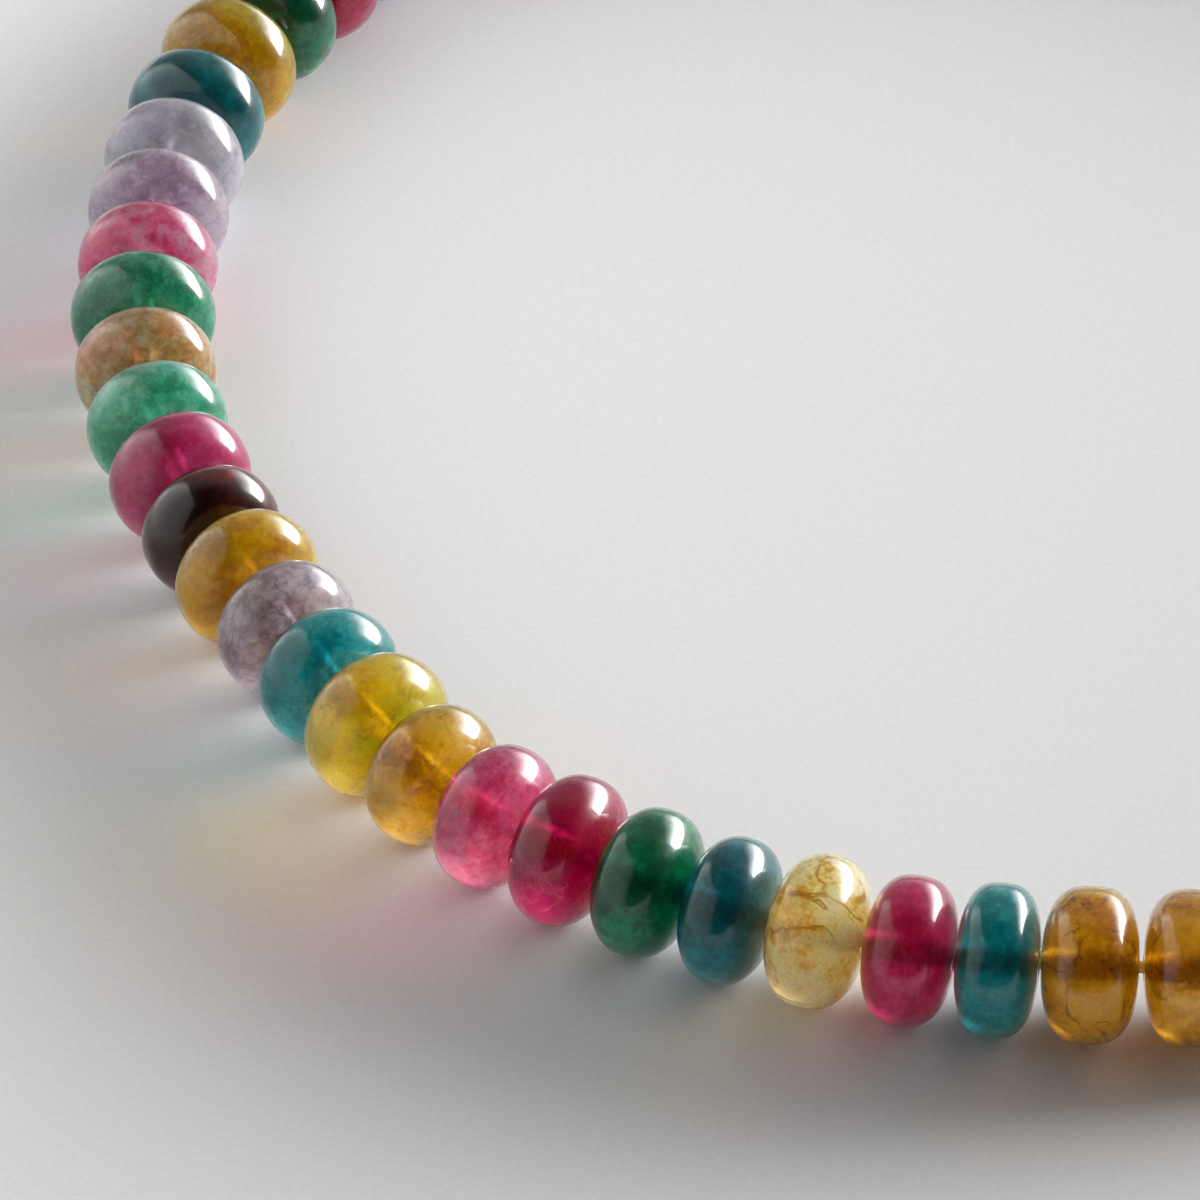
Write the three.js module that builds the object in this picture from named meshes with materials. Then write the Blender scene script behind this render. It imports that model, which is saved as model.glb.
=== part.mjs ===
// A strung necklace of smooth rondelle beads, lying as a closed loop on a flat surface.
// Millimetres, +Z up. The origin is on the surface, under the middle of the necklace's outer box.
import * as THREE from 'three';
import { mergeVertices } from 'three/addons/utils/BufferGeometryUtils.js';

// Beads: flattened round stones with domed faces, drilled through the middle of both faces.
const beadWidth = 6.02; // along the thread
const beadDiameter = 10.0; // across the thread
const beadFullness = 2.4; // exponent of the outline: 2 is an ellipse, and higher is boxier
const beadBends = [0.9, 0.6]; // shares of the radius where the domed face bends, from the rim inwards
const rimBandWidth = 1.5; // flat band round the widest place
const beadSides = 12; // a multiple of 4, so that one facet of the rim lies on the surface
const beadGap = 0.08; // room between two neighbouring beads
const looseGap = 0.25; // room after the first bead, where the thread shows

// Thread, and the bore that it runs through
const threadDiameter = 0.8;
const threadSides = 8;
const boreClearance = 0.3; // all round the thread, and at its two ends

// Clasp: a closed ball with a seam round its middle and a collar at each end, where the thread goes in
const claspDiameter = 9.5;
const claspLength = 10.8;
const claspCollarDiameter = 3.8;
const claspSeamWidth = 0.5;
const claspSeamDepth = 0.3;
const claspSocketDepth = 2.4;
const claspSocketClearance = 0.45; // all round the thread in its socket, and at its end
const claspGap = 0.3; // between a collar and the bead beside it
const claspSides = 16;
const claspArcSteps = 5; // from collar to seam

// Route of the thread seen from above: a smooth closed curve through these points, [x, y], drawn about
// the middle of the loop. It is then sized to the necklace's length.
const necklaceLength = 450; // along the thread, with the clasp
const routePoints = [
  [1.5, -71], [-23, -68], [-45.5, -56], [-59.5, -37], [-69.5, -13.5], [-70, 11],
  [-63.5, 32.5], [-46, 55.5], [-27, 69], [-0.5, 71.5], [24.5, 67.5], [46, 55],
  [62, 35.5], [70.5, 12], [70.5, -13], [62, -36.5], [46.5, -56], [23, -67.5],
];
const routeTension = 0.5;
const routeDivisions = 3600; // steps that its length is measured in
const firstBeadAt = 2.4; // along the route, from its first point to the middle of the first bead

// Colours of the stones, the thread and the clasp
const tints = {
  amber: '#935f0b',
  golden: '#c49c14',
  pale_yellow: '#c3a662',
  tan: '#9a734e',
  teal: '#056165',
  dark_teal: '#03494b',
  green: '#14583c',
  mint: '#5aa384',
  raspberry: '#8a1a3f',
  pink: '#ae506e',
  lilac: '#93869a',
  black_brown: '#28100c',
};
const stoneFinish = { roughness: 0.12, metalness: 0 };
const backStone = { ...stoneFinish, color: '#7d5560' };
const threadFinish = { roughness: 0.5, metalness: 0, color: '#b98f45' };
const claspFinish = { roughness: 0.25, metalness: 1, color: '#c9a14a' };

// One row for each bead of the shown stretch. The shares are of beadWidth, beadDiameter and beadFullness.
const beadColumns = ['tint', 'widthShare', 'diameterShare', 'fullnessShare'];
const beadRows = [
  ['amber', 1.02, 1.03, 1.12],
  ['amber', 1.055, 1.03, 1.14],
  ['teal', 0.90, 1.01, 1.16],
  ['raspberry', 0.98, 0.99, 1.08],
  ['pale_yellow', 1.03, 1.02, 1.04],
  ['dark_teal', 0.96, 0.99, 1.00],
  ['green', 1.00, 1.01, 1.00],
  ['raspberry', 0.98, 1.03, 1.00],
  ['raspberry', 0.99, 0.99, 1.00],
  ['amber', 0.98, 0.99, 1.00],
  ['golden', 1.04, 1.03, 1.00],
  ['teal', 1.00, 0.99, 1.00],
  ['lilac', 0.96, 0.98, 1.00],
  ['amber', 0.96, 1.01, 1.00],
  ['black_brown', 0.97, 0.97, 1.00],
  ['raspberry', 1.02, 0.99, 1.00],
  ['mint', 1.00, 0.98, 1.00],
  ['tan', 0.98, 0.99, 1.00],
  ['green', 0.99, 1.02, 1.00],
  ['pink', 1.01, 0.99, 1.00],
  ['lilac', 0.99, 1.00, 1.00],
  ['lilac', 0.99, 1.00, 1.00],
  ['dark_teal', 1.02, 0.99, 1.00],
  ['amber', 1.04, 1.01, 1.00],
  ['green', 1.03, 1.03, 1.00],
  ['raspberry', 0.98, 0.99, 1.00],
  ['lilac', 1.00, 1.00, 1.00],
];

const up = new THREE.Vector3(0, 0, 1);
const threadRadius = threadDiameter / 2;
const boreRadius = threadRadius + boreClearance;

function closedRoute(size) {
  const points = routePoints.map(([x, y]) => new THREE.Vector3(x, y, 0).multiplyScalar(size));
  const curve = new THREE.CatmullRomCurve3(points, true, 'catmullrom', routeTension);
  curve.arcLengthDivisions = routeDivisions;
  return curve;
}

const route = closedRoute(necklaceLength / closedRoute(1).getLength());

// The place and the three directions at a distance along the route, at a height above the surface.
function frameAt(distance, height) {
  const share = ((distance / necklaceLength) % 1 + 1) % 1;
  const along = route.getTangentAt(share).normalize();
  const side = new THREE.Vector3().crossVectors(along, up).normalize();
  const middle = route.getPointAt(share).addScaledVector(up, height);
  return new THREE.Matrix4().makeBasis(side, along, up).setPosition(middle);
}

// A bead's sizes. The table starts again after its last row.
function beadSize(index) {
  const row = beadRows[index % beadRows.length];
  const bead = Object.fromEntries(beadColumns.map((name, column) => [name, row[column]]));
  bead.width = beadWidth * bead.widthShare;
  bead.radius = beadDiameter * bead.diameterShare / 2;
  bead.fullness = beadFullness * bead.fullnessShare;
  return bead;
}

// A bead's outline from one face to the other: [distance from its axis, distance along it].
function beadOutline(bead, innerRadius) {
  const half = bead.width / 2;
  const bends = beadBends.map((share) => (
    [bead.radius * share, half * (1 - share ** bead.fullness) ** (1 / bead.fullness)]
  ));
  const upper = [[bead.radius, rimBandWidth / 2], ...bends, [innerRadius, half]];
  const lower = upper.map(([radius, along]) => [radius, -along]).reverse();
  return [...lower, ...upper];
}

// Turns an outline about the Y axis. Its flats, not its corners, lie at the outline's own radius.
function turned(outline, sides) {
  const outward = 1 / Math.cos(Math.PI / sides);
  const points = outline.map(([radius, along]) => new THREE.Vector2(radius * outward, along));
  return new THREE.LatheGeometry(points, sides, Math.PI / sides);
}

function drilledBead(bead) {
  const outline = beadOutline(bead, boreRadius);
  return turned([...outline, outline[0]], beadSides);
}

// Lays beads one after another from a starting place. Each one's middle is its radius above the surface.
function layBeads(firstIndex, count, start, gapAfter) {
  const laid = [];
  let edge = start;
  for (let index = firstIndex; index < firstIndex + count; index += 1) {
    const bead = beadSize(index);
    laid.push({ ...bead, start: edge, at: edge + bead.width / 2, end: edge + bead.width });
    edge += bead.width + gapAfter(index);
  }
  return laid;
}

// The shown stretch, and the room that it and the clasp leave for the beads at the back
const shownStart = firstBeadAt - beadSize(0).width / 2;
const shown = layBeads(0, beadRows.length, shownStart, (index) => (index === 0 ? looseGap : beadGap));
const shownEnd = shown[shown.length - 1].end;
const backStart = shownEnd + beadGap;
const backEnd = shownStart + necklaceLength - beadGap;
const backRoom = backEnd - backStart - claspLength - 2 * claspGap;

// As many beads as fit go at the back, half of them in the string on each side of the clasp.
let backCount = 0;
let backFilled = 0;
let nextWidth = beadSize(shown.length).width;
while (backFilled + nextWidth <= backRoom - backCount * beadGap) {
  backFilled += nextWidth;
  backCount += 1;
  nextWidth = beadSize(shown.length + backCount).width;
}
const backStrings = 2;
const firstHalf = Math.ceil(backCount / backStrings);
const secondHalf = backCount - firstHalf;

// The room that is left over widens the gaps inside the strings. Each has one gap fewer than beads.
const backGap = (backRoom - backFilled) / (backCount - backStrings);
const backLaid1 = layBeads(shown.length, firstHalf, backStart, () => backGap);
const claspStart = backLaid1[firstHalf - 1].end + claspGap;
const claspAt = claspStart + claspLength / 2;
const backStart2 = claspStart + claspLength + claspGap;
const backLaid2 = layBeads(shown.length + firstHalf, secondHalf, backStart2, () => backGap);

// A string of beads fused on its thread. The thread's end stands out into the clasp's socket.
function fusedString(laid, endsAtClasp) {
  const spans = laid.map((bead) => ({
    frame: frameAt(bead.at, bead.radius),
    outline: beadOutline(bead, threadRadius),
  }));
  const reach = claspGap + claspSocketDepth - claspSocketClearance;
  const tipAt = endsAtClasp ? laid[laid.length - 1].end + reach : laid[0].start - reach;
  const tip = { frame: frameAt(tipAt, beadDiameter / 2), outline: [[threadRadius, 0]] };
  if (endsAtClasp) spans.push(tip);
  else spans.unshift(tip);

  // The outlines are turned as one straight body, and each ring then goes into its own bead's frame.
  const rings = spans.flatMap((span) => span.outline.map(([radius, along]) => ({ ...span, radius, along })));
  rings.unshift({ ...rings[0], radius: 0 });
  rings.push({ ...rings[rings.length - 1], radius: 0 });
  const geometry = turned(rings.map(({ radius, along }) => [radius, along]), beadSides);
  const position = geometry.getAttribute('position');
  const point = new THREE.Vector3();
  for (let vertex = 0; vertex < position.count; vertex += 1) {
    point.fromBufferAttribute(position, vertex).applyMatrix4(rings[vertex % rings.length].frame);
    position.setXYZ(vertex, point.x, point.y, point.z);
  }
  geometry.deleteAttribute('normal');
  geometry.deleteAttribute('uv');
  const closed = mergeVertices(geometry);
  closed.computeVertexNormals();
  return closed;
}

// The thread through the shown beads, by way of the middle of each bore and of each gap.
function threadTube() {
  const inset = boreClearance - beadGap;
  const lastBead = shown[shown.length - 1];
  const stops = [{ at: shownStart + inset, height: shown[0].radius }];
  shown.slice(0, -1).forEach((bead, index) => {
    const next = shown[index + 1];
    stops.push({ at: bead.at, height: bead.radius });
    stops.push({ at: (bead.end + next.start) / 2, height: (bead.radius + next.radius) / 2 });
  });
  stops.push({ at: lastBead.at, height: lastBead.radius });
  stops.push({ at: shownEnd - inset, height: lastBead.radius });

  const places = stops.map(({ at, height }) => {
    const frame = frameAt(at, height);
    return new THREE.Vector3().setFromMatrixPosition(frame);
  });
  const corners = Array.from({ length: threadSides }, (_, corner) => {
    const angle = 2 * Math.PI * corner / threadSides;
    return new THREE.Vector2(Math.cos(angle), Math.sin(angle)).multiplyScalar(threadRadius);
  });
  return new THREE.ExtrudeGeometry(new THREE.Shape(corners), {
    steps: stops.length - 1,
    extrudePath: new THREE.CatmullRomCurve3(places),
  });
}

// One closed ball with a blind socket in each collar
function claspBall() {
  const ball = claspDiameter / 2;
  const collar = claspCollarDiameter / 2;
  const socket = threadRadius + claspSocketClearance;
  const collarAngle = Math.asin(collar / ball);
  const seamAngle = Math.acos(claspSeamWidth / 2 / ball);
  const arc = [];
  for (let step = 0; step <= claspArcSteps; step += 1) {
    const angle = collarAngle + (seamAngle - collarAngle) * step / claspArcSteps;
    arc.push([ball * Math.sin(angle), ball * Math.cos(angle)]);
  }
  const upper = [
    [0, claspLength / 2 - claspSocketDepth],
    [socket, claspLength / 2 - claspSocketDepth],
    [socket, claspLength / 2],
    [collar, claspLength / 2],
    ...arc,
    [ball - claspSeamDepth, claspSeamWidth / 2],
  ];
  const lower = upper.map(([radius, along]) => [radius, -along]);
  return turned([...lower, ...upper.reverse()], claspSides);
}

const necklace = new THREE.Group();

function add(name, geometry, finish, frame = new THREE.Matrix4()) {
  const mesh = new THREE.Mesh(geometry, new THREE.MeshStandardMaterial(finish));
  mesh.name = name;
  mesh.applyMatrix4(frame);
  necklace.add(mesh);
}

shown.forEach((bead, index) => {
  const name = `bead_${String(index + 1).padStart(2, '0')}`;
  const finish = { ...stoneFinish, color: tints[bead.tint] };
  add(name, drilledBead(bead), finish, frameAt(bead.at, bead.radius));
});
add('thread', threadTube(), threadFinish);
add('back_string_1', fusedString(backLaid1, true), backStone);
add('back_string_2', fusedString(backLaid2, false), backStone);
add('clasp', claspBall(), claspFinish, frameAt(claspAt, beadDiameter / 2));

// The outer box stands on the surface, with its middle over the origin.
necklace.updateMatrixWorld(true);
const outerBox = new THREE.Box3().setFromObject(necklace, true);
const middle = outerBox.getCenter(new THREE.Vector3());
necklace.position.set(-middle.x, -middle.y, -outerBox.min.z);
necklace.updateMatrixWorld(true);

export default necklace;
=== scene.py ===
"""A strung necklace of polished, dyed quartz rondelles, lying as a loop on a plain pale floor.

Metres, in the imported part's own frame. Every stone, the thread and the clasp is modelled here finely,
in the place and at the size of the solid that it stands for.
"""
import math

import bpy
import numpy as np
from mathutils import Matrix, Vector


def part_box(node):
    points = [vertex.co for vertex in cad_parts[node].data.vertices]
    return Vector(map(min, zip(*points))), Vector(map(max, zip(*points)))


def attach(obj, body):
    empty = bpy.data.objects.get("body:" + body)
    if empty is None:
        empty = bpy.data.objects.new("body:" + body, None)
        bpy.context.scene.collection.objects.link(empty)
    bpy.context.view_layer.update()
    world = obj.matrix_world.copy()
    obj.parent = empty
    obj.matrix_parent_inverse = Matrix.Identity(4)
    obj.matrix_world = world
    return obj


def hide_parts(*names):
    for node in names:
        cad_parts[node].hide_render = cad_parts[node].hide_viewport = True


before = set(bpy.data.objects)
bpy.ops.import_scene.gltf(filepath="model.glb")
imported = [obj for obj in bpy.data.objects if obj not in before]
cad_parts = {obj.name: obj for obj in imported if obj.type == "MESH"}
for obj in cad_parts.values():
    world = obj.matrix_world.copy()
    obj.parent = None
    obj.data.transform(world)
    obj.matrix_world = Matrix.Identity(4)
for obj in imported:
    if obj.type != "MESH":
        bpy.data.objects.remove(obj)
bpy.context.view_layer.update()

MM = 0.001

# Stones
BEAD_WIDTH = 6.02 * MM
BEAD_DIAMETER = 10.0 * MM
BEAD_FULLNESS = 2.4  # exponent of the outline: 2 is an ellipse
BEAD_GAP = 0.08 * MM
LOOSE_GAP = 0.25 * MM
BORE_RADIUS = 0.7 * MM
BORE_LIP = 0.16 * MM
EASING = 0.3  # where an eased edge has its middle point, as a share of its size
SHOWN_STEPS, SHOWN_SIDES = 44, 96
BACK_STEPS, BACK_SIDES = 26, 56
WOBBLE = 0.012  # how far a stone is out of round, as a share of its radius
WOBBLE_WAVES = [(2, 0, 0.5), (3, 900, 0.3), (5, -700, 0.2)]  # waves round a stone, twist per metre, share
WOBBLE_SPARED = 0.9  # how much of the wobble is left out at a stone's foot, so that it rests on the floor
SEED_STEP, SEED_START = (13.7, 7.3, 3.9), (0.0, 4.0, 9.0)  # how the patterns and waves differ between stones

# Light in and on the stones
STONE_COORDS = "stone"  # name of the coordinates that the patterns follow, in millimetres
STONE_ROUGHNESS = 0.012
STONE_IOR = 1.43
STONE_DEPTH_ROUGHNESS = 0.3  # how blurred the light is that goes through
STONE_DEPTH_SHINE = 0.05  # how much of it comes back as a blurred shine
STONE_SCATTER = 42 * MM
STONE_SCATTER_LEAST = 0.25  # how far the colour that is swallowed most goes, as a share of the farthest
STONE_FORWARD = 0.3  # how much of the scattered light goes on ahead

# Tinted light that falls on the floor through the stones
GLOW_LOW, GLOW_HIGH = 1.5 * MM, 5.5 * MM  # heights between which less and less light comes through
GLOW_EDGE_BLEND, GLOW_EDGE = 0.35, 0.7  # how it weakens towards a stone's edge, and where it ends
GLOW_PURITY = 0.6  # how far its tint goes from white to the glow's own colour
GLOW_STRENGTH = 0.7  # how bright it is in the middle of a stone's foot

# Noises of the materials: size per millimetre, detail, roughness and warp. The paper's size is per metre.
NOISES = {
    "cloud": dict(detail=2.0, roughness=0.45),
    "mottle": dict(size=1.3, detail=3.0, roughness=0.7),
    "grain": dict(size=3.2, detail=2.0, roughness=0.75),
    "vein": dict(detail=4.0, roughness=0.52, warp=0.7),
    "vein_mask": dict(size=0.5, detail=0.0),
    "crack_bend": dict(size=0.9, detail=3.0, roughness=0.5),
    "crack_mask": dict(size=0.35, detail=2.0),
    "strand": dict(size=1.6, detail=3.0),
    "wear": dict(size=0.8, detail=5.0, roughness=0.65),
    "gold_grain": dict(size=5.0, detail=3.0),
    "paper": dict(size=2600.0, detail=0.0),
}
NOISE_MIDDLE = 0.5
CLOUD_SHARE = 0.5  # the clouds' share of the pattern, the rest being mottle
CLOUD_SPREAD = 0.14  # how far the clouds' noise goes from its middle for the deep and pale colours
GRAIN_LIMITS = (0.3, 0.7)
VEIN_REACH = 0.03  # how far from a vein's middle its noise still darkens the stone
VEIN_MASK_LIMITS = (0.36, 0.55)
CRACK_BEND = 0.9
CRACK_REACH = 0.06
CRACK_MASK_LIMITS, CRACK_LEAST = (0.4, 0.6), 0.15
CRACK_RELIEF, CRACK_RELIEF_DEPTH = 0.02, 0.05 * MM
MOTTLE_RELIEF = 0.2  # depth of the mottle in that relief, as a share of a crack's

# Thread and clasp
THREAD_RADIUS = 0.4 * MM
THREAD_SIDES = 12
THREAD_STEP = 0.5 * MM
THREAD_INSET = 0.2 * MM
THREAD_TIP = [0.25, 0.75, 0.95]  # shares of the radius at the steps of a rounded end
THREAD_COLOURS, THREAD_LIMITS = ("#ffd27a", "#fff0cc"), (0.35, 0.65)
THREAD_ROUGHNESS = 0.25
THREAD_SCATTER, THREAD_SCATTER_REACH = 8 * MM, (1.0, 0.8, 0.5)
THREAD_RELIEF, THREAD_RELIEF_DEPTH = 0.2, 0.05 * MM
CLASP_DIAMETER = 9.5 * MM
CLASP_LENGTH = 10.8 * MM
CLASP_COLLAR_RADIUS = 1.9 * MM
CLASP_SEAM_WIDTH = 0.5 * MM
CLASP_SEAM_DEPTH = 0.3 * MM
CLASP_SOCKET_DEPTH = 2.4 * MM
CLASP_SOCKET_RADIUS = 0.85 * MM
CLASP_GAP = 0.3 * MM
CLASP_SOCKET_ROOM = 0.45 * MM
CLASP_BEVEL = 0.18 * MM
CLASP_SIDES = 72
CLASP_ARC_STEPS = 22
CLASP_ARC_SHORT = 0.02  # angle by which the ball's round stops before the seam, in radians
CLASP_SOCKET_TIP = 0.1  # radius where a socket's floor closes, as a share of the socket's
CLASP_SEAM_EASING = 0.5
CLASP_COLOURS, CLASP_WEAR_LIMITS = ("#c2933c", "#e8c87a"), (0.35, 0.65)
CLASP_ROUGH_LIMITS, CLASP_ROUGHNESS = (0.3, 0.7), (0.14, 0.30)
CLASP_RELIEF, CLASP_RELIEF_DEPTH = 0.06, 0.03 * MM

# Route of the thread seen from above: a smooth closed curve through these points, in millimetres.
NECKLACE_LENGTH = 450 * MM
ROUTE_POINTS = [
    (1.5, -71), (-23, -68), (-45.5, -56), (-59.5, -37), (-69.5, -13.5), (-70, 11),
    (-63.5, 32.5), (-46, 55.5), (-27, 69), (-0.5, 71.5), (24.5, 67.5), (46, 55),
    (62, 35.5), (70.5, 12), (70.5, -13), (62, -36.5), (46.5, -56), (23, -67.5),
]
FIRST_BEAD_AT = 2.4 * MM
ROUTE_REACH = 0.05 * MM  # how far to each side of a place the route's direction is taken

# The stones of the shown stretch: look, and shares of the width, the diameter and the fullness
BEADS = [
    ("amber_clear", 1.02, 1.03, 1.12),
    ("amber_deep", 1.055, 1.03, 1.14),
    ("teal", 0.90, 1.01, 1.16),
    ("raspberry", 0.98, 0.99, 1.08),
    ("pale_veined", 1.03, 1.02, 1.04),
    ("teal_deep", 0.96, 0.99, 1.00),
    ("green_deep", 1.00, 1.01, 1.00),
    ("raspberry_deep", 0.98, 1.03, 1.00),
    ("raspberry_pale", 0.99, 0.99, 1.00),
    ("amber_brown", 0.98, 0.99, 1.00),
    ("golden", 1.04, 1.03, 1.00),
    ("teal_bright", 1.00, 0.99, 1.00),
    ("lilac_crackled", 0.96, 0.98, 1.00),
    ("amber_mustard", 0.96, 1.01, 1.00),
    ("black_brown", 0.97, 0.97, 1.00),
    ("raspberry_milky", 1.02, 0.99, 1.00),
    ("mint", 1.00, 0.98, 1.00),
    ("tan", 0.98, 0.99, 1.00),
    ("green", 0.99, 1.02, 1.00),
    ("pink", 1.01, 0.99, 1.00),
    ("lilac_warm", 0.99, 1.00, 1.00),
    ("lilac", 0.99, 1.00, 1.00),
    ("teal_deep", 1.02, 0.99, 1.00),
    ("amber_mustard", 1.04, 1.01, 1.00),
    ("green_deep", 1.03, 1.03, 1.00),
    ("raspberry_deep", 0.98, 0.99, 1.00),
    ("lilac", 1.00, 1.00, 1.00),
]

# Camera: from the front and above, close, with a long lens
CAMERA_ELEVATION = 39.02
CAMERA_DISTANCE = 712.8 * MM
CAMERA_TARGET = (-39, -27)  # in the route's own drawing, in millimetres
CAMERA_LENS = 314.9
CAMERA_SENSOR = 36
CAMERA_NEAR = 10 * MM

# Floor, upright sheets of light, and the dim room around
FLOOR_SIZE = 8
FLOOR_COLOUR = (0.86, 0.86, 0.86)
FLOOR_GRAIN_LIMITS, FLOOR_TONES = (0.3, 0.7), (0.985, 1.015)
# Each sheet stands on the floor between two points seen from above, in metres. Its brightness is multiplied
# by the shares along it, from the first point to the second, and by the shares from its foot to its top.
SHEETS = {
    "window": dict(
        start=(0.22, 1.58), end=(1.58, 0.22), height=1.20, brightness=43.0,
        along=[(0, 0.01), (0.12, 0.05), (0.32, 0.2), (0.5, 0.4), (0.69, 0.76), (0.84, 1), (1, 0.95)],
        up=[
            (0, 0), (0.03, 0), (0.04, 0.8), (0.19, 1), (0.29, 0.85), (0.39, 0.6),
            (0.5, 0.38), (0.62, 0.2), (0.75, 0.1), (0.9, 0.04), (1, 0.01),
        ],
    ),
    "card": dict(
        start=(-0.090, -0.180), end=(-0.226, 0.214), height=0.205, brightness=2.1,
        along=[
            (0, 0.2), (0.16, 0.33), (0.3, 0.42), (0.39, 0.47),
            (0.47, 0.56), (0.55, 0.7), (0.7, 1), (1, 0.35),
        ],
        up=[(0, 1), (1, 1)],
    ),
    "wall": dict(
        start=(-0.95, 1.40), end=(0.22, 1.60), height=0.75, brightness=1.0,
        along=[(0, 0.3), (0.3, 0.7), (1, 1)],
        up=[(0, 0), (0.06, 0), (0.08, 1), (0.3, 0.8), (0.6, 0.45), (1, 0.25)],
    ),
}
ROOM_COLOUR = (1, 1, 1, 1)
ROOM_BRIGHT_SIDE = (0.20, 0.95, 0.15)
ROOM_FRONT, ROOM_BACK = 0.012, 0.3
ROOM_FADE = (0.15, 0.65)  # how far a direction goes towards the bright side where the fade starts and ends

# How each kind of stone looks. Its colour goes from deep over middle to pale in clouds of the given size (per
# millimetre) and contrast. Mottle is a finer unevenness, and veins and crackle are dark lines.
STONES = {
    "amber_clear": dict(
        deep="#945a04", middle="#c4880a", pale="#e4a83c", clear=0.85, cloud=0.30, contrast=1.0, mottle=0.14,
        vein="#4a2803", veins=0.75, vein_size=0.28, glow="#f0a030",
    ),
    "amber_deep": dict(
        deep="#945a02", middle="#bc8404", pale="#d09c24", clear=0.78, cloud=0.26, contrast=1.0, mottle=0.14,
        vein="#3a1f02", veins=0.85, vein_size=0.24, glow="#e89a2a",
    ),
    "amber_brown": dict(
        deep="#aa7204", middle="#e6aa04", pale="#ecbc4c", clear=0.85, cloud=0.26, contrast=1.2, mottle=0.16,
        vein="#5a3404", veins=0.4, vein_size=0.35, glow="#e0a040",
    ),
    "amber_mustard": dict(
        deep="#ac7402", middle="#dc9802", pale="#f0b81c", clear=0.75, cloud=0.26, contrast=0.9, mottle=0.08,
        vein="#5a3804", veins=0.3, vein_size=0.3, glow="#e8ac30",
    ),
    "golden": dict(
        deep="#ec9e06", middle="#ffca10", pale="#ffdc44", clear=0.85, cloud=0.26, contrast=1.0, mottle=0.14,
        vein="#8c5c04", veins=0.5, vein_size=0.22, glow="#ffd24a",
    ),
    "pale_veined": dict(
        deep="#d08c10", middle="#ffe08c", pale="#fff0b8", clear=0.62, cloud=0.26, contrast=1.0, mottle=0.16,
        vein="#8a5606", veins=0.95, vein_size=0.20, vein_stretch=2.6, vein_tilt=40, glow="#ffe6a0",
    ),
    "tan": dict(
        deep="#a8602c", middle="#ea9c68", pale="#fcd6b4", clear=0.80, cloud=0.34, contrast=0.9, mottle=0.12,
        vein="#6e4118", veins=0.4, vein_size=0.45, glow="#e8c090",
    ),
    "teal": dict(
        deep="#015258", middle="#016c72", pale="#1e8a88", clear=0.78, cloud=0.34, contrast=1.0, mottle=0.24,
        glow="#3fc0b8",
    ),
    "teal_bright": dict(
        deep="#015c64", middle="#017a84", pale="#28a4a2", clear=0.81, cloud=0.34, contrast=1.1, mottle=0.26,
        glow="#4fd0c4",
    ),
    "teal_deep": dict(
        deep="#013840", middle="#01484e", pale="#0c6268", clear=0.72, cloud=0.32, contrast=1.0, mottle=0.24,
        glow="#30a8b0",
    ),
    "green_deep": dict(
        deep="#013426", middle="#024836", pale="#106a4a", clear=0.70, cloud=0.32, contrast=1.1, mottle=0.20,
        crackle=0.35, crackle_size=0.40, glow="#40b080",
    ),
    "green": dict(
        deep="#0c5c3c", middle="#187858", pale="#50ac84", clear=0.80, cloud=0.34, contrast=0.9, mottle=0.22,
        glow="#60c898",
    ),
    "mint": dict(
        deep="#248a64", middle="#48c89e", pale="#8ce0c0", clear=0.82, cloud=0.34, contrast=1.0, mottle=0.14,
        vein="#0f5438", veins=0.4, vein_size=0.30, glow="#8fe0b8",
    ),
    "raspberry": dict(
        deep="#880834", middle="#ae1852", pale="#c23c68", clear=0.78, cloud=0.30, contrast=1.0, mottle=0.16,
        vein="#5a0420", veins=0.3, vein_size=0.3, glow="#e88090",
    ),
    "raspberry_deep": dict(
        deep="#880030", middle="#a0003c", pale="#b01c4e", clear=0.82, cloud=0.28, contrast=0.9, mottle=0.14,
        vein="#e0507c", veins=0.25, vein_size=0.35, glow="#e88090",
    ),
    "raspberry_pale": dict(
        deep="#bc2656", middle="#e8487a", pale="#f484a4", clear=0.84, cloud=0.28, contrast=1.2, mottle=0.20,
        vein="#8a1040", veins=0.3, vein_size=0.3, glow="#e88090",
    ),
    "raspberry_milky": dict(
        deep="#9c1e4a", middle="#c03068", pale="#cc5884", clear=0.75, cloud=0.24, contrast=0.9, mottle=0.10,
        glow="#e88090",
    ),
    "pink": dict(
        deep="#d83062", middle="#ff5080", pale="#ffbccc", clear=0.82, cloud=0.28, contrast=0.9, mottle=0.12,
        vein="#8a2a50", veins=0.3, vein_size=0.3, glow="#f8a0b8",
    ),
    "lilac": dict(
        deep="#b4a8c4", middle="#e8dcf4", pale="#f6ecff", clear=0.82, cloud=0.34, contrast=1.2, mottle=0.12,
        vein="#5c5068", veins=0.35, vein_size=0.35, glow="#c8c0e0",
    ),
    "lilac_warm": dict(
        deep="#9a8298", middle="#cab2ca", pale="#e0cede", clear=0.82, cloud=0.34, contrast=1.2, mottle=0.12,
        vein="#5a4050", veins=0.5, vein_size=0.35, glow="#d8b8c8",
    ),
    "lilac_crackled": dict(
        deep="#7c6a76", middle="#ac9ca6", pale="#ccc0cc", clear=0.79, cloud=0.30, contrast=1.2, mottle=0.12,
        vein="#4c3a4c", veins=0.5, vein_size=0.3, crackle=0.55, crackle_size=0.38, glow="#c8b8d0",
    ),
    "black_brown": dict(
        deep="#120302", middle="#200604", pale="#301009", clear=0.65, cloud=0.28, contrast=1.0, mottle=0.10,
        glow="#30100a",
    ),
}


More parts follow.
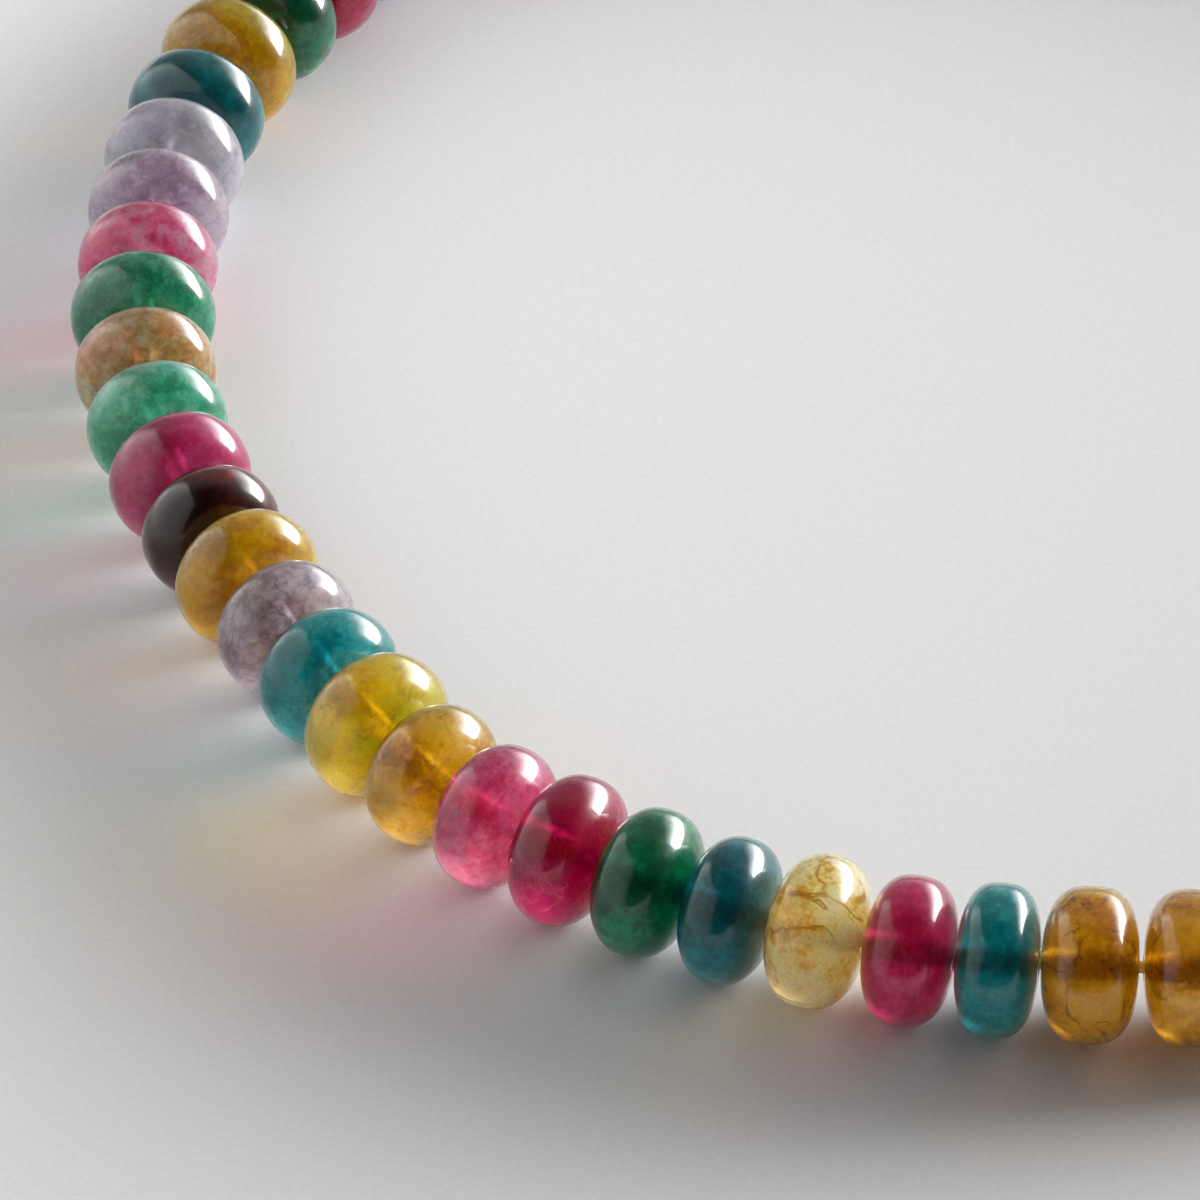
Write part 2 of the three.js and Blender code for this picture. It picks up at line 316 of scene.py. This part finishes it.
# Route
def route_table(steps_each=200):
    """Points along the closed route and the distance at each, with the whole length set to the necklace's."""
    corner = np.array(ROUTE_POINTS, float) * MM
    points = []
    t = np.linspace(0, 1, steps_each, endpoint=False)[:, None]
    for i in range(len(corner)):
        p0, p1, p2, p3 = (corner[(i + k) % len(corner)] for k in (-1, 0, 1, 2))
        points.append(0.5 * (2 * p1 + (p2 - p0) * t + (2 * p0 - 5 * p1 + 4 * p2 - p3) * t**2
                             + (3 * p1 - p0 - 3 * p2 + p3) * t**3))
    points = np.concatenate(points)
    points = np.vstack([points, points[:1]])
    lengths = np.hypot(*np.diff(points, axis=0).T)
    size = NECKLACE_LENGTH / lengths.sum()
    return points * size, np.concatenate([[0], np.cumsum(lengths)]) * size, size


ROUTE, DISTANCE, DRAWING_SIZE = route_table()


def route_point(at):
    at = at % NECKLACE_LENGTH
    return np.array([np.interp(at, DISTANCE, ROUTE[:, 0]), np.interp(at, DISTANCE, ROUTE[:, 1])])


def route_matrix(at, height):
    """The place and directions of a piece on the route: X sideways, Y along the thread, Z up."""
    here, ahead, behind = route_point(at), route_point(at + ROUTE_REACH), route_point(at - ROUTE_REACH)
    along = Vector((*(ahead - behind), 0)).normalized()
    side = along.cross(Vector((0, 0, 1)))
    turn = Matrix((side, along, Vector((0, 0, 1)))).transposed().to_4x4()
    return Matrix.Translation((*here, height)) @ turn


def stone_size(index):
    look, width_share, diameter_share, fullness_share = BEADS[index % len(BEADS)]
    return look, BEAD_WIDTH * width_share, BEAD_DIAMETER * diameter_share / 2, BEAD_FULLNESS * fullness_share


def lay_stones(first, count, start, gaps):
    """Stones one after another: (index, look, width, radius, fullness, place of the middle, end)."""
    laid, edge = [], start
    for index in range(first, first + count):
        look, width, radius, fullness = stone_size(index)
        laid.append((index, look, width, radius, fullness, edge + width / 2, edge + width))
        edge += width + gaps(index)
    return laid


shown_start = FIRST_BEAD_AT - stone_size(0)[1] / 2
shown = lay_stones(0, len(BEADS), shown_start, lambda index: LOOSE_GAP if index == 0 else BEAD_GAP)
shown_end = shown[-1][-1]
back_start = shown_end + BEAD_GAP
back_room = NECKLACE_LENGTH - BEAD_GAP + shown_start - back_start - CLASP_LENGTH - 2 * CLASP_GAP
back_count, filled = 0, 0.0
while filled + stone_size(len(BEADS) + back_count)[1] <= back_room - back_count * BEAD_GAP:
    filled += stone_size(len(BEADS) + back_count)[1]
    back_count += 1
first_half = math.ceil(back_count / 2)
gap_count = back_count - 2  # the two back strings each have one gap less than stones
back_gap = (back_room - filled) / gap_count
back_1 = lay_stones(len(BEADS), first_half, back_start, lambda index: back_gap)
clasp_start = back_1[-1][-1] + CLASP_GAP
clasp_end = clasp_start + CLASP_LENGTH
back_2 = lay_stones(len(BEADS) + first_half, back_count - first_half, clasp_end + CLASP_GAP,
                    lambda index: back_gap)

# The route was drawn about its own middle, and the frame's origin is under the outer box's middle.
low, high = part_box("bead_01")
shift = (low + high) / 2 - Vector((*route_point(shown[0][5]), 0))
TO_FRAME = Matrix.Translation((shift.x, shift.y, 0))


# Node helpers
def linear(code):
    """A colour written as #rrggbb, as the linear values that a shader takes."""
    parts = [int(code[i:i + 2], 16) / 255 for i in (1, 3, 5)]
    return tuple(c / 12.92 if c <= 0.04045 else ((c + 0.055) / 1.055) ** 2.4 for c in parts) + (1.0,)


def node(tree, kind, inputs=None, **settings):
    made = tree.nodes.new("ShaderNode" + kind)
    for name, value in settings.items():
        setattr(made, name, value)
    for socket, value in (inputs or {}).items():
        if isinstance(value, bpy.types.NodeSocket):
            tree.links.new(value, made.inputs[socket])
        else:
            made.inputs[socket].default_value = value
    return made


def new_material(name):
    material = bpy.data.materials.new(name)
    material.use_nodes = True
    material.node_tree.nodes.clear()
    return material, material.node_tree


def noise(tree, coords, kind, output="Fac", **own):
    """One of the named noises, with settings of its own where they are given."""
    settings = {"roughness": 0.55, "warp": 0.0, **NOISES[kind], **own}
    made = node(tree, "TexNoise", {"Vector": coords, "Scale": settings["size"], "Detail": settings["detail"],
                                   "Roughness": settings["roughness"], "Distortion": settings["warp"]})
    return made.outputs[output]


def ramp(tree, value, low, high, out_low=0.0, out_high=1.0):
    """Smoothly takes value from low..high to out_low..out_high, and holds the ends."""
    made = node(tree, "MapRange", {"Value": value, "From Min": low, "From Max": high,
                                   "To Min": out_low, "To Max": out_high})
    made.interpolation_type = "SMOOTHSTEP"
    return made.outputs["Result"]


def maths(tree, operation, a, b=0.0):
    return node(tree, "Math", {0: a, 1: b}, operation=operation).outputs[0]


def mix_colour(tree, factor, a, b):
    made = node(tree, "Mix", {0: factor, 6: a, 7: b}, data_type="RGBA")
    return made.outputs[2]


def scaled(tree, colour, by):
    return node(tree, "VectorMath", {0: colour, "Scale": by}, operation="SCALE").outputs[0]


def bump(tree, height, strength, depth):
    made = node(tree, "Bump", {"Height": height, "Strength": strength, "Distance": depth})
    return made.outputs["Normal"]


# Materials
def cloud_colour(tree, coords, deep, middle, pale, cloud, contrast, mottle):
    """The colour of clouds from deep to pale with a finer mottling in them, and the mottling."""
    broad = noise(tree, coords, "cloud", size=cloud)
    fine = noise(tree, coords, "mottle")
    clouds = maths(tree, "ADD", maths(tree, "MULTIPLY", broad, CLOUD_SHARE),
                   maths(tree, "MULTIPLY", fine, 1 - CLOUD_SHARE))
    spread = CLOUD_SPREAD / contrast
    clouds = ramp(tree, clouds, NOISE_MIDDLE - spread, NOISE_MIDDLE + spread)
    colours = node(tree, "ValToRGB", {"Fac": clouds})
    stops = colours.color_ramp.elements
    stops[0].color, stops[1].color = linear(deep), linear(pale)
    stops.new(0.5).color = linear(middle)
    grains = noise(tree, coords, "grain")
    light = ramp(tree, grains, *GRAIN_LIMITS, 1 - mottle, 1 + mottle)
    return scaled(tree, colours.outputs["Color"], light), fine


def vein_lines(tree, coords, strength, size, stretch, tilt):
    """Veins along the middle values of a stretched noise, broken up by a second one."""
    lie = node(tree, "Mapping", {"Vector": coords, "Rotation": (math.radians(tilt), 0, 0),
                                 "Scale": (1, stretch, 1)}, vector_type="TEXTURE")
    lines = noise(tree, lie.outputs["Vector"], "vein", size=size)
    lines = maths(tree, "ABSOLUTE", maths(tree, "SUBTRACT", lines, NOISE_MIDDLE))
    lines = ramp(tree, lines, 0.0, VEIN_REACH, strength, 0.0)
    here = ramp(tree, noise(tree, coords, "vein_mask"), *VEIN_MASK_LIMITS)
    return maths(tree, "MULTIPLY", lines, here)


def crack_lines(tree, coords, strength, size):
    """A net of fine cracks, stronger in some places than in others."""
    bend = noise(tree, coords, "crack_bend", output="Color")
    bent = node(tree, "VectorMath", {0: bend, 1: (CRACK_BEND,) * 3, 2: coords}, operation="MULTIPLY_ADD")
    cells = node(tree, "TexVoronoi", {"Vector": bent.outputs[0], "Scale": size}, feature="DISTANCE_TO_EDGE")
    cracks = ramp(tree, cells.outputs["Distance"], 0.0, CRACK_REACH, strength, 0.0)
    here = ramp(tree, noise(tree, coords, "crack_mask"), *CRACK_MASK_LIMITS, CRACK_LEAST, 1.0)
    return maths(tree, "MULTIPLY", cracks, here)


def floor_glow(tree, glow):
    """Lets light that goes low through the middle of a stone tint the floor beside it."""
    facing = node(tree, "LayerWeight", {"Blend": GLOW_EDGE_BLEND}).outputs["Facing"]
    middle_share = ramp(tree, facing, 0.0, GLOW_EDGE, 1.0, 0.0)
    height = node(tree, "SeparateXYZ", {0: node(tree, "NewGeometry").outputs["Position"]}).outputs["Z"]
    low_share = ramp(tree, height, GLOW_LOW, GLOW_HIGH, 1.0, 0.0)
    through = maths(tree, "MULTIPLY", middle_share, low_share)
    tint = GLOW_STRENGTH * (GLOW_PURITY * np.array(linear(glow)) + 1 - GLOW_PURITY)
    colour = mix_colour(tree, through, (0.0, 0.0, 0.0, 1.0), tuple(tint))
    return node(tree, "BsdfTransparent", {"Color": colour})


def stone_material(name, deep, middle, pale, clear, glow, cloud, contrast, mottle,
                   vein=None, veins=0.0, vein_size=0.3, vein_stretch=1.0, vein_tilt=0.0,
                   crackle=0.0, crackle_size=0.5):
    """Polished cloudy stone. Sizes are per millimetre, in the coordinates that each stone carries."""
    material, tree = new_material(name)
    coords = node(tree, "Attribute", attribute_name=STONE_COORDS).outputs["Vector"]
    colour, fine = cloud_colour(tree, coords, deep, middle, pale, cloud, contrast, mottle)
    if veins:
        lines = vein_lines(tree, coords, veins, vein_size, vein_stretch, vein_tilt)
        colour = mix_colour(tree, lines, colour, linear(vein))
    if crackle:
        cracks = crack_lines(tree, coords, crackle, crackle_size)
        colour = mix_colour(tree, cracks, colour, linear(vein or deep))

    colour_parts = linear(glow)[:3]
    reach = tuple(STONE_SCATTER_LEAST + (1 - STONE_SCATTER_LEAST) * part / max(colour_parts)
                  for part in colour_parts)
    polish = node(tree, "BsdfPrincipled", {
        "Base Color": colour, "Roughness": STONE_DEPTH_ROUGHNESS, "IOR": STONE_IOR,
        "Transmission Weight": clear, "Specular IOR Level": STONE_DEPTH_SHINE,
        "Coat Weight": 1.0, "Coat Roughness": STONE_ROUGHNESS, "Coat IOR": STONE_IOR,
        "Subsurface Weight": 1.0, "Subsurface Radius": reach, "Subsurface Scale": STONE_SCATTER,
        "Subsurface Anisotropy": STONE_FORWARD,
    })
    if crackle:
        relief = maths(tree, "SUBTRACT", maths(tree, "MULTIPLY", fine, MOTTLE_RELIEF), cracks)
        normal = bump(tree, relief, CRACK_RELIEF, CRACK_RELIEF_DEPTH)
        tree.links.new(normal, polish.inputs["Coat Normal"])

    shadow_ray = node(tree, "LightPath").outputs["Is Shadow Ray"]
    see_through = floor_glow(tree, glow)
    blend = node(tree, "MixShader", {0: shadow_ray, 1: polish.outputs[0], 2: see_through.outputs[0]})
    node(tree, "OutputMaterial", {"Surface": blend.outputs[0]})
    return material


def thread_material():
    material, tree = new_material("thread_clear")
    coords = node(tree, "Attribute", attribute_name=STONE_COORDS).outputs["Vector"]
    strands = noise(tree, coords, "strand")
    colour = mix_colour(tree, ramp(tree, strands, *THREAD_LIMITS), *map(linear, THREAD_COLOURS))
    shine = node(tree, "BsdfPrincipled", {
        "Base Color": colour, "Roughness": THREAD_ROUGHNESS, "Subsurface Weight": 1.0,
        "Subsurface Radius": THREAD_SCATTER_REACH, "Subsurface Scale": THREAD_SCATTER,
        "Normal": bump(tree, strands, THREAD_RELIEF, THREAD_RELIEF_DEPTH),
    })
    node(tree, "OutputMaterial", {"Surface": shine.outputs[0]})
    return material


def clasp_material():
    material, tree = new_material("clasp_gold")
    coords = node(tree, "Attribute", attribute_name=STONE_COORDS).outputs["Vector"]
    wear = noise(tree, coords, "wear")
    colour = mix_colour(tree, ramp(tree, wear, *CLASP_WEAR_LIMITS), *map(linear, CLASP_COLOURS))
    gold = node(tree, "BsdfPrincipled", {
        "Base Color": colour, "Metallic": 1.0,
        "Roughness": ramp(tree, wear, *CLASP_ROUGH_LIMITS, *CLASP_ROUGHNESS),
        "Normal": bump(tree, noise(tree, coords, "gold_grain"), CLASP_RELIEF, CLASP_RELIEF_DEPTH),
    })
    node(tree, "OutputMaterial", {"Surface": gold.outputs[0]})
    return material


MATERIALS = {look: stone_material("stone_" + look, **settings) for look, settings in STONES.items()}
MATERIALS["thread"] = thread_material()
MATERIALS["clasp"] = clasp_material()


# Meshes
class Shape:
    """Collects vertices, faces, pattern coordinates and materials of one piece."""

    def __init__(self):
        self.points, self.faces, self.coords, self.slots, self.looks = [], [], [], [], []
        self.count = 0

    def grid(self, places, coords, look, closed_along=False):
        """A net of rings, an array of rings by sides by 3. It is closed along, or has a face at each end."""
        rows, columns = places.shape[:2]
        first = self.count
        self.points.append(places.reshape(-1, 3))
        self.coords.append(coords.reshape(-1, 3))
        self.count += rows * columns
        if look not in self.looks:
            self.looks.append(look)
        row = np.arange(rows if closed_along else rows - 1)[:, None]
        column = np.arange(columns)[None, :]
        a = row * columns + column
        b = row * columns + (column + 1) % columns
        c = (row + 1) % rows * columns + (column + 1) % columns
        d = (row + 1) % rows * columns + column
        faces = (np.stack([a, b, c, d], axis=-1).reshape(-1, 4) + first).tolist()
        if not closed_along:
            ring = list(range(first, first + columns))
            faces += [ring[::-1], [corner + (rows - 1) * columns for corner in ring]]
        self.faces += faces
        self.slots += [self.looks.index(look)] * len(faces)

    def build(self, name):
        mesh = bpy.data.meshes.new(name)
        mesh.from_pydata(np.concatenate(self.points).tolist(), [], self.faces)
        mesh.polygons.foreach_set("use_smooth", [True] * len(self.faces))
        mesh.polygons.foreach_set("material_index", self.slots)
        stone = mesh.attributes.new(STONE_COORDS, "FLOAT_VECTOR", "POINT")
        stone.data.foreach_set("vector", np.concatenate(self.coords).astype(np.float32).ravel())
        for look in self.looks:
            mesh.materials.append(MATERIALS[look])
        mesh.update()
        made = bpy.data.objects.new(name, mesh)
        bpy.context.scene.collection.objects.link(made)
        return made


def moved(matrix, places):
    turn = np.array(matrix.to_3x3())
    return places @ turn.T + np.array(matrix.translation)


def stone_outline(width, radius, fullness, steps):
    """From the bore's one lip round the outside to the other, then back through the bore."""
    turn = np.linspace(-math.pi / 2, math.pi / 2, steps)
    across = radius * np.abs(np.cos(turn)) ** (2 / fullness)
    along = width / 2 * np.sign(np.sin(turn)) * np.abs(np.sin(turn)) ** (2 / fullness)
    outer = np.stack([across, along], axis=1)[across > BORE_RADIUS + BORE_LIP]
    face = width / 2 * (1 - ((BORE_RADIUS + BORE_LIP) / radius) ** fullness) ** (1 / fullness)
    lip = [(BORE_RADIUS + BORE_LIP, face), (BORE_RADIUS + EASING * BORE_LIP, face - EASING * BORE_LIP),
           (BORE_RADIUS, face - BORE_LIP)]
    return np.array([(r, -y) for r, y in reversed(lip)] + outer.tolist() + lip
                    + [(BORE_RADIUS, 0.0)])


def add_stone(shape, laid, steps, sides):
    """One drilled stone, a little out of round, always inwards of its full size."""
    index, look, width, radius, fullness, at, _ = laid
    outline = stone_outline(width, radius, fullness, steps)
    seed = index * np.array(SEED_STEP) + SEED_START
    angle = np.arange(sides) * 2 * math.pi / sides
    r = outline[:, 0][:, None]
    y = outline[:, 1][:, None]
    wave = sum(np.sin(count * angle + start + y * twist) * share
               for (count, twist, share), start in zip(WOBBLE_WAVES, seed))
    outward = np.clip((r - BORE_RADIUS) / (radius - BORE_RADIUS), 0, 1)
    spared = 1 - WOBBLE_SPARED * np.clip(-np.sin(angle), 0, 1)
    r = r * (1 - WOBBLE * outward * (0.5 + 0.5 * wave) * spared)
    places = np.stack([r * np.cos(angle), y + 0 * r, r * np.sin(angle)], axis=-1)
    coords = places / MM + seed
    matrix = TO_FRAME @ route_matrix(at, radius)
    shape.grid(moved(matrix, places)[::-1], coords[::-1], look, closed_along=True)


def add_tube(shape, stations, radius, sides, look):
    """A smooth round tube with rounded ends through stations (place along the route, height)."""
    at = np.arange(stations[0][0], stations[-1][0], THREAD_STEP)
    at = np.append(at, stations[-1][0])
    heights = np.interp(at, [s[0] for s in stations], [s[1] for s in stations])
    swell = np.ones(len(at))
    swell[:len(THREAD_TIP)], swell[-len(THREAD_TIP):] = THREAD_TIP, THREAD_TIP[::-1]
    angle = np.arange(sides) * 2 * math.pi / sides
    ring = np.stack([np.cos(angle), 0 * angle, np.sin(angle)], axis=-1) * radius
    places = np.stack([moved(TO_FRAME @ route_matrix(a, h), ring * s)
                       for a, h, s in zip(at, heights, swell)])
    coords = np.stack([ring / MM + (0, a / MM, 0) for a in at])
    shape.grid(places[::-1], coords[::-1], look)


def thread_stations(laid, start, end):
    return [(start, laid[0][3])] + [(stone[5], stone[3]) for stone in laid] + [(end, laid[-1][3])]


def finish_piece(made, nodes):
    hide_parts(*nodes)
    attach(made, "root")
    return made


for stone in shown:
    shape = Shape()
    add_stone(shape, stone, SHOWN_STEPS, SHOWN_SIDES)
    number = f"{stone[0] + 1:02d}"
    finish_piece(shape.build("stone_" + number), ["bead_" + number])

shape = Shape()
add_tube(shape, thread_stations(shown, shown_start + THREAD_INSET, shown_end - THREAD_INSET),
         THREAD_RADIUS, THREAD_SIDES, "thread")
finish_piece(shape.build("thread_shown"), ["thread"])

stub = CLASP_GAP + CLASP_SOCKET_DEPTH - CLASP_SOCKET_ROOM
for name, laid, start, end in (
    ("back_string_1", back_1, shown_end + BEAD_GAP, clasp_start + stub - CLASP_GAP),
    ("back_string_2", back_2, clasp_end - stub + CLASP_GAP, back_2[-1][-1]),
):
    shape = Shape()
    for stone in laid:
        add_stone(shape, stone, BACK_STEPS, BACK_SIDES)
    add_tube(shape, thread_stations(laid, start, end), THREAD_RADIUS, THREAD_SIDES, "thread")
    finish_piece(shape.build("stones_" + name), [name])


def clasp_outline():
    """From the bottom of one socket over the ball to the bottom of the other."""
    ball = CLASP_DIAMETER / 2
    collar_angle = math.asin(CLASP_COLLAR_RADIUS / ball)
    seam_angle = math.acos(CLASP_SEAM_WIDTH / 2 / ball)
    half, bevel = CLASP_LENGTH / 2, CLASP_BEVEL
    socket_floor = half - CLASP_SOCKET_DEPTH
    upper = [
        (CLASP_SOCKET_TIP * CLASP_SOCKET_RADIUS, socket_floor), (CLASP_SOCKET_RADIUS, socket_floor),
        (CLASP_SOCKET_RADIUS, half - bevel), (CLASP_SOCKET_RADIUS + bevel, half),
        (CLASP_COLLAR_RADIUS - bevel, half), (CLASP_COLLAR_RADIUS - EASING * bevel, half - EASING * bevel),
        (CLASP_COLLAR_RADIUS, half - bevel),
    ]
    for angle in np.linspace(collar_angle, seam_angle - CLASP_ARC_SHORT, CLASP_ARC_STEPS):
        upper.append((ball * math.sin(angle), ball * math.cos(angle)))
    seam_floor, seam_side = ball - CLASP_SEAM_DEPTH, CLASP_SEAM_WIDTH / 2
    ease = CLASP_SEAM_EASING * bevel
    upper += [(ball - EASING * bevel, seam_side), (seam_floor + ease, seam_side),
              (seam_floor, seam_side - ease)]
    return np.array(upper + [(r, -y) for r, y in reversed(upper)])


outline = clasp_outline()
angle = np.arange(CLASP_SIDES) * 2 * math.pi / CLASP_SIDES
r, y = outline[:, 0][:, None], outline[:, 1][:, None]
places = np.stack([r * np.cos(angle), y + 0 * r * angle, r * np.sin(angle)], axis=-1)
shape = Shape()
clasp_matrix = TO_FRAME @ route_matrix((clasp_start + clasp_end) / 2, BEAD_DIAMETER / 2)
shape.grid(moved(clasp_matrix, places), places / MM, "clasp")
finish_piece(shape.build("clasp_ball"), ["clasp"])


# Floor, light and camera
def stage_plane(name, material, size, matrix):
    mesh = bpy.data.meshes.new(name)
    half_x, half_y = size[0] / 2, size[1] / 2
    mesh.from_pydata([(-half_x, -half_y, 0), (half_x, -half_y, 0), (half_x, half_y, 0), (-half_x, half_y, 0)],
                     [], [(0, 1, 2, 3)])
    corners = mesh.uv_layers.new(name="sheet")
    corners.data.foreach_set("uv", [0, 0, 1, 0, 1, 1, 0, 1])
    mesh.materials.append(material)
    made = bpy.data.objects.new(name, mesh)
    made.matrix_world = matrix
    bpy.context.scene.collection.objects.link(made)
    return made


def floor_material():
    material, tree = new_material("floor_paper")
    coords = node(tree, "TexCoord").outputs["Object"]
    tone = ramp(tree, noise(tree, coords, "paper"), *FLOOR_GRAIN_LIMITS, *FLOOR_TONES)
    paper = node(tree, "BsdfDiffuse", {"Color": scaled(tree, FLOOR_COLOUR, tone)})
    node(tree, "OutputMaterial", {"Surface": paper.outputs[0]})
    return material


def share_ramp(tree, place, shares):
    """A grey ramp through (place, share) pairs, with shares up to one."""
    made = node(tree, "ValToRGB", {"Fac": place})
    stops = made.color_ramp.elements
    stops[0].position, stops[1].position = shares[0][0], shares[-1][0]
    for position, _ in shares[1:-1]:
        stops.new(position)
    for stop, (_, share) in zip(stops, shares):
        stop.color = (share, share, share, 1)
    return made.outputs["Color"]


def sheet_material(name, brightness, along, up):
    material, tree = new_material(name)
    place = node(tree, "SeparateXYZ", {0: node(tree, "TexCoord").outputs["UV"]})
    colour = node(tree, "VectorMath", {0: share_ramp(tree, place.outputs["X"], along),
                                       1: share_ramp(tree, place.outputs["Y"], up)}, operation="MULTIPLY")
    glow = node(tree, "Emission", {"Color": colour.outputs[0], "Strength": brightness})
    node(tree, "OutputMaterial", {"Surface": glow.outputs[0]})
    return material


def light_sheet(name, start, end, height, brightness, along, up):
    start, end = Vector((*start, 0)), Vector((*end, 0))
    length, above = (end - start).length, Vector((0, 0, 1))
    level = (end - start).normalized()
    place = Matrix((level, above, level.cross(above))).transposed().to_4x4()
    place.translation = (start + end) / 2 + above * height / 2
    made = stage_plane(name, sheet_material(name, brightness, along, up), (length, height), place)
    made.visible_camera = False
    made.visible_shadow = False


stage_plane("floor", floor_material(), (FLOOR_SIZE, FLOOR_SIZE), Matrix.Identity(4))
for name, settings in SHEETS.items():
    light_sheet(name, **settings)

world = bpy.data.worlds.new("room")
bpy.context.scene.world = world
world.use_nodes = True
world.node_tree.nodes.clear()
room = world.node_tree
bright_side = node(room, "VectorMath", {0: node(room, "TexCoord").outputs["Generated"],
                                        1: Vector(ROOM_BRIGHT_SIDE).normalized()}, operation="DOT_PRODUCT")
level = ramp(room, bright_side.outputs["Value"], *ROOM_FADE, ROOM_FRONT, ROOM_BACK)
sky = node(room, "Background", {"Color": ROOM_COLOUR, "Strength": level})
node(room, "OutputWorld", {"Surface": sky.outputs[0]})

camera_data = bpy.data.cameras.new("camera")
camera_data.lens, camera_data.sensor_width = CAMERA_LENS, CAMERA_SENSOR
camera_data.clip_start = CAMERA_NEAR
camera = bpy.data.objects.new("camera", camera_data)
bpy.context.scene.collection.objects.link(camera)
target = TO_FRAME @ Vector((*(np.array(CAMERA_TARGET) * MM * DRAWING_SIZE), 0))
tilt = math.radians(CAMERA_ELEVATION)
camera.location = target - Vector((0, math.cos(tilt), -math.sin(tilt))) * CAMERA_DISTANCE
camera.rotation_euler = (math.pi / 2 - tilt, 0, 0)
bpy.context.scene.camera = camera
bpy.context.scene.view_settings.view_transform = "Standard"
